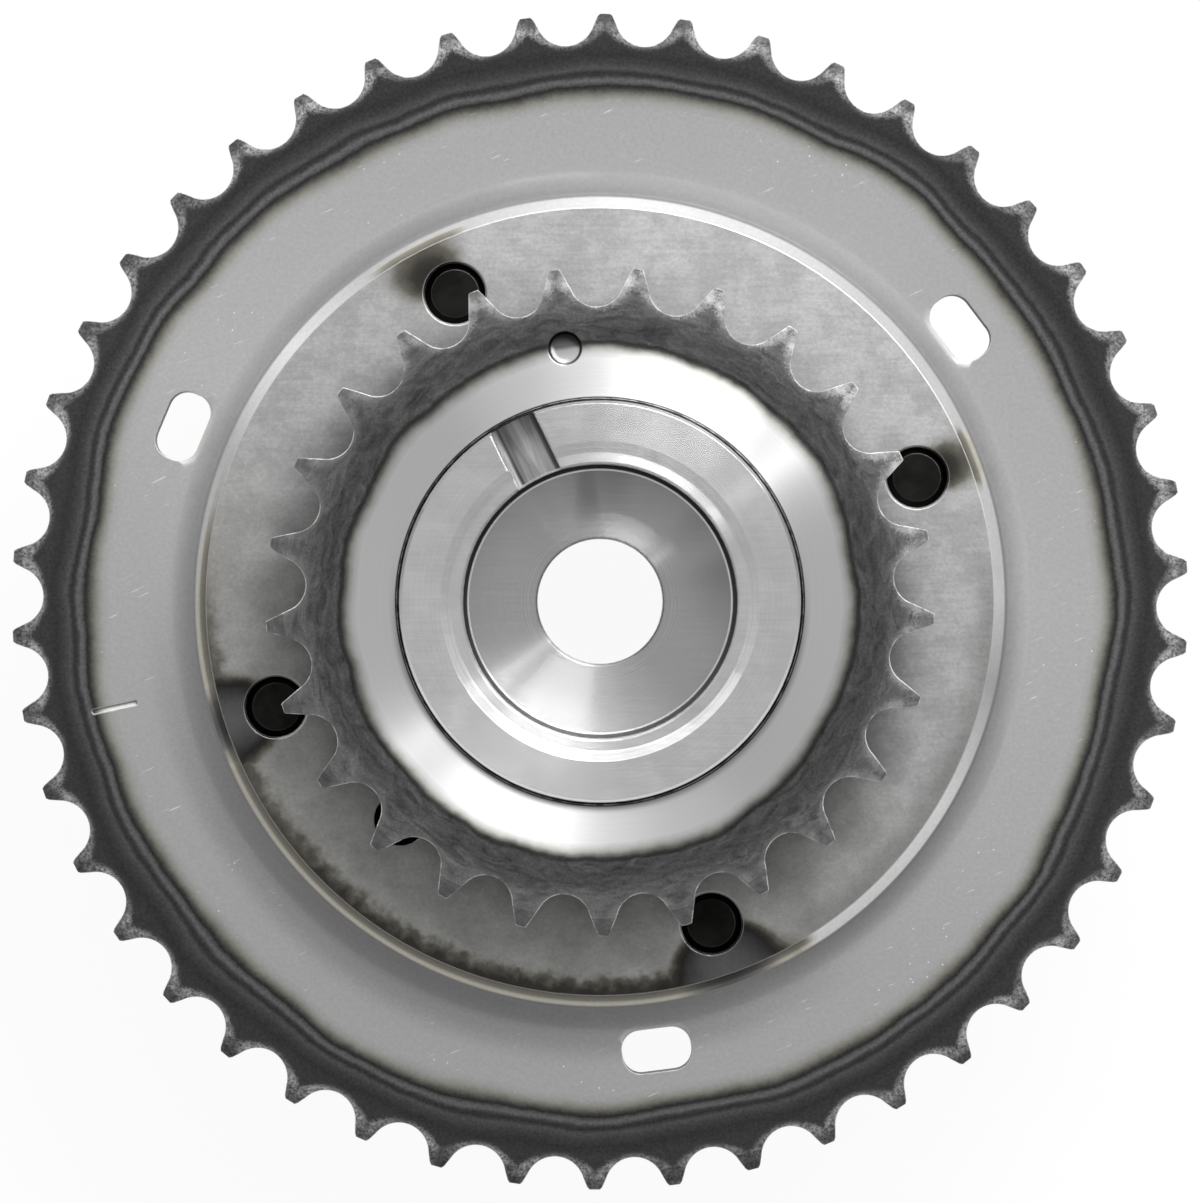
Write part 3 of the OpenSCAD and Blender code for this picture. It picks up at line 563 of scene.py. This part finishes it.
def rubbed_tips(put, flat, radius, base, cloud, fleck):
    """Speckled bright steel around the gaps and at the tips, painted lighter toward the top of the wheel as
    painted light.
    """
    gap = from_gap(put, flat, radius, SMALL_TEETH, SMALL_PHASE, SMALL_GAP_R)
    limit = put("MapRange", (radius, 29.4, 32.0, SMALL_SEAT + 0.15, SMALL_SEAT + 1.35))
    ragged = put("MapRange", (fleck, 0.3, 0.7, -0.8, 0.8))
    excess = put("Math", (put("Math", (gap, limit), operation="SUBTRACT"), ragged), operation="ADD")
    rubbed = both(put, put("MapRange", (excess, 0.5, -0.7, 0.0, 1.0), **SMOOTH),
                  put("MapRange", (radius, 28.4, 29.3, 0.0, 1.0)),
                  put("MapRange", (cloud, 0.36, 0.6, 0.45, 1.0), **SMOOTH))
    # Painted light: the rubbed steel is lighter toward 52 degrees and darker toward the bottom.
    bright = graded(put, toward(put, flat, radius, 52), [
        (-0.8, "#686868"), (0.3, "#8a8a8a"), (0.95, "#a8a8a8"),
    ])
    bright = mottled(put, mottled(put, bright, fleck, 0.6, 1.35), cloud, 0.8, 1.2)
    return put("Mix", {0: rubbed, 6: base, 7: bright}, **OVER)


def dimple_colour(put, flat, base):
    """Drilled dimple in painted shade and light: a dark outline and upper half, a light lower half with a
    bright painted highlight, and its distance.
    """
    along, across = on_ray(put, flat, DIMPLE_ANGLE)
    off = put("Math", (along, DIMPLE_R), operation="SUBTRACT")
    away = put("VectorMath", (put("CombineXYZ", (off, across, 0.0)),), operation="LENGTH")
    # Painted shade and light: the dimple's floor is light at its lower side and dark at its upper side, with
    # a bright painted highlight in a crescent.
    floor = graded(put, off, [(-1.4, "#d0d0d0"), (-0.2, "#a8a8a8"), (0.15, "#5c5c5c"), (1.4, "#3a3a3a")])
    lit = put("Math", (across, off), operation="SUBTRACT")
    painted_highlight_arc = both(put, band(put, away, 0.95, 1.15, 1.3, 1.45),
               put("MapRange", (lit, 0.7, 1.5, 0.0, 1.0), **SMOOTH))
    floor = put("Mix", {0: painted_highlight_arc, 6: floor, 7: "#fafafa"}, **OVER)
    # Painted shade: the mouth of the dimple is a dark outline, darkest at its upper side.
    edge = graded(put, off, [(-1.6, "#7a7a7a"), (-0.3, "#4a4a4a"), (0.5, "#161616"), (1.6, "#101010")])
    inside = put("MapRange", (away, DIMPLE_MOUTH + 0.02, DIMPLE_MOUTH - 0.04, 0.0, 1.0))
    within = put("MapRange", (away, DIMPLE_MOUTH - 0.2, DIMPLE_MOUTH - 0.3, 0.0, 1.0))
    mouth = put("Mix", {0: within, 6: edge, 7: floor}, **OVER)
    return put("Mix", {0: inside, 6: base, 7: mouth}, **OVER), away


print(SMALL_TEETH, "teeth and a dimple")

# %% [markdown]
# The ring was cut on a lathe and the teeth were not, so the share of oxide also sets how rough the
# steel is and how strongly it shows the lathe. One mask for all three keeps their borders together.

# %% Small sprocket material
BORE_R = 20.1


def small_sprocket():
    """Bright turned ring inside 25 mm, crusted oxide outside it, rubbed around the gaps."""
    material, put, spot, flat, radius = start("turned_steel_with_heat_tinted_teeth")
    slow = put("TexNoise", {"Vector": spot, "Scale": 0.13, "Detail": 1.0})
    quick = put("TexNoise", {"Vector": spot, "Scale": 0.8, "Detail": 4.0})
    cloud = put("TexNoise", {"Vector": spot, "Scale": 0.6, "Detail": 4.0, "Roughness": 0.65})
    fleck = put("TexNoise", {"Vector": spot, "Scale": 3.6, "Detail": 4.0, "Roughness": 0.7})
    # The tool's feed is 0.1 mm; the rings are drawn at 0.2 mm so that the ring looks turned.
    rings = put("TexNoise", {"Vector": put("CombineXYZ", (radius, 0.0, 0.0)), "Scale": 5.0, "Detail": 2.0})
    wander = put("MapRange", (slow, 0.3, 0.7, -0.28, 0.28))
    shiver = put("MapRange", (quick, 0.3, 0.7, -0.08, 0.08))
    reach = put("Math", (put("Math", (radius, wander), operation="ADD"), shiver), operation="ADD")
    base = hardened_ring(put, flat, reach, fleck)
    base = rubbed_tips(put, flat, radius, base, cloud, fleck)
    # Painted shade: the chamfer of the bore is painted near black as the dark gap around the nose, and below
    # the axis a painted shadow of the nose lies on the ring.
    painted_nose_shadow = both(put, put("MapRange", (radius, BORE_R + 0.3, BORE_R + 1.1, 0.6, 0.0), **SMOOTH),
                 put("MapRange", (toward(put, flat, radius, 270), -0.3, 0.4, 0.0, 1.0), **SMOOTH))
    base = put("Mix", {0: painted_nose_shadow, 6: base, 7: "#606060"}, **OVER)
    clear = put("MapRange", (radius, BORE_R + 0.32, BORE_R + 0.42, 0.0, 1.0))
    base = put("Mix", {0: clear, 6: "#1c1c1c", 7: base}, **OVER)
    colour, away = dimple_colour(put, flat, mottled(put, base, rings, 0.96, 1.03))
    oxide = put("MapRange", (reach, 25.2, 26.2, 0.0, 1.0), **SMOOTH)
    rough = put("MapRange", (oxide, 0.0, 1.0, 0.33, 0.7))
    lay = put("MapRange", (oxide, 0.0, 1.0, 1.0, 0.2))
    height = put("Mix", {0: oxide, 6: rings, 7: fleck}, **OVER)
    # The pale edge, partly wear and partly a painted highlight, comes and goes along an edge, so the outline
    # of the teeth looks broken.
    edge_wear_and_glint = both(put, put("MapRange", (away, DIMPLE_MOUTH + 0.2, DIMPLE_MOUTH + 0.4, 0.0, 1.0)),
                put("MapRange", (cloud, 0.4, 0.58, 0.3, 1.0), **SMOOTH))
    steel(put, flat, colour, rough, height, 0.005, lay=lay, edge_wear_and_glint=edge_wear_and_glint, soft=0.2 * MM)
    return material


cad["secondary_sprocket"].data.materials.clear()
cad["secondary_sprocket"].data.materials.append(small_sprocket())
print("small sprocket:", len(cad["secondary_sprocket"].active_material.node_tree.nodes), "nodes")

# %% [markdown]
# ## The rotor
#
# One turned piece with several cuts on it: a fine nose, a ledge and cone inside it, and the seat for the
# camshaft at the bottom. The corner groove around the seat is painted dark, a painted shade, with a
# painted highlight line beside it, and the upper half of the seat is darker, partly painted shade of the
# bore wall and partly old oil. The dowel slot was milled, so its marks run along the slot. Radius and
# height tell all of these apart.

# %% Rotor colours
PILOT_R = 13.75
LEDGE_R = 15.95
NOSE_R, NOSE_Z = 20.05, 8.0
SLOT_ANGLE, SLOT_HALF, SLOT_Z = 116.2, 2.35, 4.5


def seat_colour(put, flat, radius, base, deep):
    """Camshaft seat: darker steel, darker toward the top by painted shade and old oil, a painted highlight
    line and a corner groove painted dark.
    """
    spokes = put("VectorMath", (flat,), operation="NORMALIZE")
    smear = put("TexNoise", {"Vector": spokes, "Scale": 1.6, "Detail": 1.0})
    # Partly painted shade of the bore wall, partly streaks of old oil: the seat is darker toward its upper
    # side.
    painted_dark = both(put, put("MapRange", (toward(put, flat, radius, 60), 0.0, 0.8, 0.0, 1.0), **SMOOTH),
                put("MapRange", (smear, 0.36, 0.6, 0.25, 0.6), **SMOOTH),
                put("MapRange", (radius, 7.0, 12.5, 0.2, 1.0), **SMOOTH))
    along, across = on_ray(put, flat, 96)
    streak = both(put, band(put, across, -2.6, -0.2, 0.2, 2.6),
                  put("MapRange", (along, 6.5, 11.0, 0.0, 0.75), **SMOOTH))
    painted_dark = put("Math", (painted_dark, streak), operation="MAXIMUM")
    seat = put("Mix", {0: painted_dark, 6: "#b8b8b8", 7: "#7e7e7e"}, **OVER)
    inside = put("MapRange", (radius, PILOT_R - 0.2, PILOT_R - 0.4, 0.0, 1.0))
    base = put("Mix", {0: inside, 6: base, 7: seat}, **OVER)
    # Painted highlight: a bright line at the rim of the seat.
    painted_rim_highlight = both(put, deep, band(put, radius, 13.12, 13.2, 13.34, 13.4))
    base = put("Mix", {0: painted_rim_highlight, 6: base, 7: "#f4f4f4"}, **OVER)
    # Painted shade: the corner groove is painted dark, darkest toward the top.
    corner = both(put, deep, band(put, radius, 13.36, 13.4, 14.0, 14.1))
    shaded = graded(put, toward(put, flat, radius, 90), [
        (-1.0, "#7c7c7c"), (-0.2, "#545454"), (0.5, "#3a3a3a"),
    ])
    return put("Mix", {0: corner, 6: base, 7: shaded}, **OVER)


def slot_colour(put, flat, radius, level, base):
    """Milled slot: streaked floor with painted shade at one wall and a painted highlight at the lip of the
    other; and its share.
    """
    along, across = on_ray(put, flat, SLOT_ANGLE)
    milled = put("CombineXYZ", (both(put, along, 0.16), both(put, across, 1.5), 0.0))
    marks = put("TexNoise", {"Vector": milled, "Scale": 1.0, "Detail": 4.0, "Distortion": 0.5})
    # Painted shade and highlight across the slot: dark at one wall, bright at the lip of the other.
    slot_painted_light = graded(put, across, [
        (-SLOT_HALF, "#5c5c5c"), (-1.95, "#747474"), (-1.75, "#a4a4a4"), (0.0, "#c2c2c2"), (1.4, "#a0a0a0"),
        (1.68, "#5a5a5a"), (1.82, "#a8a8a8"), (2.0, "#f4f4f4"), (SLOT_HALF, "#f4f4f4"),
    ])
    slot_painted_light = mottled(put, slot_painted_light, marks, 0.55, 1.3)
    slot = both(put, band(put, level, SLOT_Z - 0.2, SLOT_Z - 0.1, 6.8, 6.9),
                put("MapRange", (radius, PILOT_R + 0.15, PILOT_R + 0.25, 0.0, 1.0)))
    return put("Mix", {0: slot, 6: base, 7: slot_painted_light}, **OVER), slot


print("rotor colours ready")

# %% [markdown]
# The faces of the rotor were turned in one clamping but with different feeds, so roughness changes by
# radius: coarse on the seat, fine on the cone and the nose. The milled slot is the roughest of all.

# %% Rotor material
def rotor_steel():
    """Turned steel: fine nose with a painted reflection on its chamfer, ledge and cone, seat with painted
    shade and old oil, corner groove painted dark, and milled slot with painted shade and highlight.
    """
    material, put, spot, flat, radius = start("turned_rotor_steel")
    level = put("SeparateXYZ", (spot,), out="Z")
    cloud = put("TexNoise", {"Vector": spot, "Scale": 0.3, "Detail": 4.0, "Roughness": 0.6})
    rings = put("TexNoise", {"Vector": put("CombineXYZ", (radius, 0.0, 0.0)), "Scale": 6.0, "Detail": 2.0})
    rubbed = put("VectorMath", (flat, (0.15, 4.0, 0)), operation="MULTIPLY")
    scratch = put("TexNoise", {"Vector": rubbed, "Scale": 1.0, "Detail": 3.0})
    clear = put("MapRange", (cloud, 0.35, 0.65, 0.0, 1.0), **SMOOTH)
    base = put("Mix", {0: clear, 6: "#d2d2d2", 7: "#dadada"}, **OVER)
    deep = put("MapRange", (level, 0.1, 0.02, 0.0, 1.0))
    base = seat_colour(put, flat, radius, base, deep)
    # Fine rings and faint straight scratches give the eye a turned face that has been handled. The feed
    # of 0.08 mm is drawn at 0.17 mm so that it shows.
    base = mottled(put, mottled(put, base, rings, 0.95, 1.04), scratch, 0.96, 1.03)
    by_hole = put("MapRange", (radius, 8.2, 7.0, 0.0, 1.0), **SMOOTH)
    base = mottled(put, base, rings, 0.82, 1.16, by_hole)
    # Painted reflection: the chamfer around the nose is painted dark above the axis and bright below it.
    chamfer = both(put, put("MapRange", (radius, NOSE_R - 0.35, NOSE_R - 0.25, 0.0, 1.0)),
                   put("MapRange", (level, NOSE_Z - 0.6, NOSE_Z - 0.5, 0.0, 1.0)))
    lit = graded(put, toward(put, flat, radius, 270), [
        (-0.9, "#8a8a8a"), (-0.2, "#989898"), (0.5, "#fafafa"),
    ])
    base = put("Mix", {0: chamfer, 6: base, 7: lit}, **OVER)
    colour, slot = slot_colour(put, flat, radius, level, base)
    inside = put("MapRange", (radius, LEDGE_R - 1.05, LEDGE_R - 0.95, 0.27, 0.17))
    turned = put("MapRange", (radius, LEDGE_R - 0.1, LEDGE_R + 0.1, inside, 0.18))
    rough = put("MapRange", (slot, 0.0, 1.0, turned, 0.42))
    edge_wear_and_glint = put("MapRange", (deep, 0.0, 1.0, 0.5, 0.0))
    steel(put, flat, colour, rough, rings, 0.004, lay=1.0, edge_wear_and_glint=edge_wear_and_glint)
    return material


FINISHES = {"vane_rotor": rotor_steel()}
print("rotor:", len(FINISHES["vane_rotor"].node_tree.nodes), "nodes")

# %% [markdown]
# ## Sintered, ground, drawn and blackened steel
#
# The other steel pieces differ in a few numbers: how light they are, how rough they are, and how much
# of a lathe shows. One function makes them all. The seals are moulded resin: near black and dull.

# %% Other materials
def plain_steel(name, light, dark, rough, lay=0.0, lines=1.0, edge_wear_and_glint=0.4, depth=0.004):
    """Steel that drifts between two colours, with turned rings of a given number to the millimetre."""
    material, put, spot, flat, radius = start(name)
    cloud = put("TexNoise", {"Vector": spot, "Scale": 0.3, "Detail": 4.0, "Roughness": 0.6})
    grain = put("TexNoise", {"Vector": spot, "Scale": 3.0, "Detail": 3.0, "Roughness": 0.6})
    circles = put("CombineXYZ", (radius, 0.0, 0.0))
    rings = put("TexNoise", {"Vector": circles, "Scale": lines, "Detail": 2.0})
    clear = put("MapRange", (cloud, 0.35, 0.65, 0.0, 1.0), **SMOOTH)
    base = put("Mix", {0: clear, 6: dark, 7: light}, **OVER)
    colour = mottled(put, base, rings, 0.93, 1.05)
    height = put("Mix", {0: min(1.0, lay * 1.3), 6: grain, 7: rings}, **OVER)
    roughness = put("MapRange", (grain, 0.3, 0.7, rough * 0.88, rough * 1.12))
    steel(put, flat, colour, roughness, height, depth, lay=lay, edge_wear_and_glint=edge_wear_and_glint)
    return material


def seal_resin():
    """Moulded resin with a faint orange peel."""
    material, put, spot, *_ = start("moulded_seal_resin")
    grain = put("TexNoise", {"Vector": spot, "Scale": 1.6, "Detail": 3.0})
    colour = graded(put, grain, [(0.3, "#1f1e1d"), (0.7, "#2e2d2b")])
    normal = put("Bump", {"Height": grain, "Distance": 0.01 * MM})
    rough = put("MapRange", (grain, 0.3, 0.7, 0.45, 0.6))
    skin = put("BsdfPrincipled", {"Base Color": colour, "Roughness": rough, "Normal": normal})
    put("OutputMaterial", {"Surface": skin})
    return material


# Sintered steel looks dull and even, ground steel satin, drawn wire a little brighter, and resin soft
# black. The black bolts and the phosphated bush are dark finishes, and the pin is painted near black, a
# painted shade, so that the holes look dark.
FINISHES["vane_housing"] = plain_steel("sintered_steel", "#8e8d89", "#868581", 0.5, depth=0.01)
FINISHES["front_cover"] = plain_steel("ground_cover_steel", "#b5b4b0", "#a6a5a1", 0.38, lay=0.6, lines=4.0)
FINISHES["cover_bolts"] = plain_steel("black_oxide_bolt_steel", "#232322", "#191918", 0.5, edge_wear_and_glint=0.15)
FINISHES["lock_seat_bush"] = plain_steel("phosphated_bush_steel", "#2e2d2c", "#232221", 0.6, edge_wear_and_glint=0.0)
FINISHES["lock_pin"] = plain_steel("near_black_pin_steel", "#262625", "#1b1b1a", 0.45, edge_wear_and_glint=0.0)
ground = plain_steel("ground_hardened_steel", "#bcbbb8", "#adaca9", 0.28)
drawn = plain_steel("drawn_spring_steel", "#a9a8a4", "#94938f", 0.35)
resin = seal_resin()
for name, piece in cad.items():
    if name in ("primary_sprocket", "secondary_sprocket"):
        continue
    plain = drawn if "spring" in name and "plug" not in name else resin if "seal" in name else ground
    piece.data.materials.clear()
    piece.data.materials.append(FINISHES.get(name, plain))
print("dressed", len(cad), "solids")

# %% [markdown]
# ## The lock pin's spring
#
# In CAD this coil is eight-sided wire. Here it is swept again as round wire: one parameter runs along
# the helix and the other around the wire. A curve object with a round bevel could make it too, but the
# sweep gives the same mesh each time. The first and last turns lie flat, as on a spring with closed
# ends. It replaces the solid and rides on the rotor.

# %% Round wire
def coil_wire(name, path, place, radius, sides):
    """Round wire along a path: at each point a circle stands square to the path.

    The circle's plane is spanned by the outward direction from the coil's axis and by the path's
    tangent crossed with it. The whole coil is then moved to its place.
    """
    tangent = np.gradient(path, axis=0)
    tangent /= np.linalg.norm(tangent, axis=1, keepdims=True)
    outward = path * (1, 1, 0)
    outward /= np.linalg.norm(outward, axis=1, keepdims=True)
    upward = np.cross(tangent, outward)
    turn = np.linspace(0, 2 * np.pi, sides, endpoint=False)[None, :, None]
    circle = np.cos(turn) * outward[:, None] + np.sin(turn) * upward[:, None]
    points = place + path[:, None] + radius * circle
    first = np.arange(len(path) * sides).reshape(len(path), sides)
    after = np.roll(first, -1, 1)
    quads = np.stack([first[:-1], after[:-1], after[1:], first[1:]], -1).reshape(-1, 4)
    ends = [first[0, ::-1].tolist(), first[-1].tolist()]
    mesh = bpy.data.meshes.new(name)
    mesh.from_pydata(points.reshape(-1, 3).tolist(), [], quads.tolist() + ends)
    mesh.polygons.foreach_set("use_smooth", np.ones(len(mesh.polygons), bool))
    piece = bpy.data.objects.new(name, mesh)
    scene.collection.objects.link(piece)
    return piece


print("wire sweep ready")

# %% [markdown] The box of the solid gives the coil's place, length and diameter.

# %% Lock pin spring
low, high = (np.array(corner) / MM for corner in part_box("lock_pin_spring"))
WIRE_R, COILS, CLOSED_RISE, STROKE = 0.35, 8, 0.75, 3.0
middle, length = (low + high) / 2, high[2] - low[2]
coil_r = (high[0] - low[0]) / 2 - WIRE_R
span = length - 2 * WIRE_R
turns = np.linspace(0, COILS, COILS * 40 + 1)
rise = np.interp(turns, [0, 1, COILS - 1, COILS], [0, CLOSED_RISE, span - CLOSED_RISE, span])
path = np.stack([coil_r * np.cos(2 * np.pi * turns), coil_r * np.sin(2 * np.pi * turns), rise], 1)
place = np.array([middle[0], middle[1], low[2] + WIRE_R])
spring = coil_wire("lock_pin_coil", path * MM, place * MM, WIRE_R * MM, 12)
spring.data.materials.append(drawn)
bpy.context.view_layer.update()
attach(spring, "rotor")
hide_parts("lock_pin_spring")
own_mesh(spring)
print("spring of", COILS, "turns,", len(spring.data.polygons), "faces")

# %% [markdown]
# ## Floor
#
# The photograph shows the part on pure white, so the floor is white paper that mostly glows. It glows
# to the camera and in mirrors, but other light still falls on it, so the part keeps its faint shadow.
# A camera under the floor looks through it, so that the back of the part can be inspected too.

# %% Floor
GLOW = 0.93


def floor_material():
    """White paper. To the camera, to mirrors and to glass most of it glows plain white; the rest shades."""
    material, put, spot, *_ = start("white_paper")
    fibres = put("TexNoise", {"Vector": spot, "Scale": 0.05})
    tone = graded(put, fibres, [(0.3, "#f1f1ef"), (0.7, "#f6f6f4")])
    rays = put("LightPath", out="Is Camera Ray").node.outputs
    seen = put("Math", (rays["Is Camera Ray"], rays["Is Glossy Ray"]), operation="MAXIMUM")
    seen = put("Math", (seen, rays["Is Transmission Ray"]), operation="MAXIMUM")
    share = put("MapRange", (seen, 0.0, 1.0, 0.0, GLOW))
    paper = put("MixShader", (share, put("BsdfDiffuse", (tone,)), put("Emission", ("#ffffff", 1.0))))
    below = both(put, put("NewGeometry", out="Backfacing"), rays["Is Camera Ray"])
    put("OutputMaterial", {"Surface": put("MixShader", (below, paper, put("BsdfTransparent")))})
    return material


half, level = 2.0, cad_box[0].z - 0.05 * MM
sheet = bpy.data.meshes.new("floor")
corners = [(-half, -half, level), (half, -half, level), (half, half, level), (-half, half, level)]
sheet.from_pydata(corners, [], [(0, 1, 2, 3)])
sheet.materials.append(floor_material())
floor = bpy.data.objects.new("floor", sheet)
scene.collection.objects.link(floor)
print("floor at", round(level / MM, 2), "mm")

# %% [markdown]
# ## Light
#
# Seen from straight above, a flat face mirrors the ceiling and a 45 degree cone mirrors the horizon. So
# the room is drawn as two levels: a ceiling, a little darker toward the bottom of the picture, and a
# brighter horizon at the top of it. Three softboxes of different widths draw the two bright wedges on
# the turned faces, soft at the sides and strong in the middle. A narrow one beside them adds the thin
# streaks, and a low panel at the back lights the cones.

# %% World and lamps
world = bpy.data.worlds.new("white_room")
scene.world = world
world.use_nodes = True
world.node_tree.nodes.clear()
put = partial(add, world.node_tree)
up = put("SeparateXYZ", (put("TexCoord", out="Generated"),), out="Z")
sides = up.node.outputs
horizon = put("MapRange", (sides["Y"], -0.2, 0.5, 0.95, 1.6), **SMOOTH)
overhead = put("MapRange", (sides["Y"], -0.8, 0.1, 0.40, 0.64), **SMOOTH)
strength = put("MapRange", (up, 0.02, 0.3, horizon, overhead), **SMOOTH)
room = put("Background", {"Color": "#ffffff", "Strength": strength})
put("OutputWorld", {"Surface": room})


def softbox(name, azimuth, elevation, distance, size, power):
    """Rectangular lamp that faces the part from a compass direction and a height above the floor."""
    lamp = bpy.data.lights.new(name, "AREA")
    lamp.shape = "RECTANGLE"
    lamp.size, lamp.size_y = size
    lamp.energy = power
    a, e = math.radians(azimuth), math.radians(elevation)
    holder = bpy.data.objects.new(name, lamp)
    aim = np.array([math.cos(a) * math.cos(e), math.sin(a) * math.cos(e), math.sin(e)])
    holder.location = distance * aim
    holder.rotation_euler = (math.pi / 2 - e, 0, a + math.pi / 2)
    scene.collection.objects.link(holder)
    return holder


softbox("broad_softbox", 74, 45, 0.55, (0.86, 0.22), 1.5)
softbox("softbox", 70, 45, 0.55, (0.46, 0.22), 1.0)
softbox("bright_softbox", 67, 45, 0.55, (0.24, 0.22), 1.8)
softbox("narrow_softbox", 37.4, 48, 0.8, (0.006, 0.3), 0.55)
softbox("back_panel", 92, 6, 0.8, (2.8, 0.24), 2.4)

# %% [markdown]
# ## Camera
#
# The camera looks straight down the axis from about a metre away with a long lens, which is what makes
# the upper sprocket only a little larger in the picture than the lower one. An orthographic camera
# would show no difference at all, and the inner wall of each hole would vanish.

# %% Camera
FOCAL_PX, IMAGE_H, CAMERA_MM = 10515.0, 1203, 1056.1
camera = bpy.data.objects.new("camera", bpy.data.cameras.new("camera"))
camera.data.sensor_width = 36.0
camera.data.lens = FOCAL_PX / IMAGE_H * camera.data.sensor_width
camera.location = (0, 0, CAMERA_MM * MM)
camera.data.clip_end = 10.0
scene.collection.objects.link(camera)
scene.camera = camera
scene.view_settings.view_transform = "Standard"
print("lens", round(camera.data.lens, 1), "mm")

# %% [markdown]
# The dressed part has to stay inside the box of the solids.
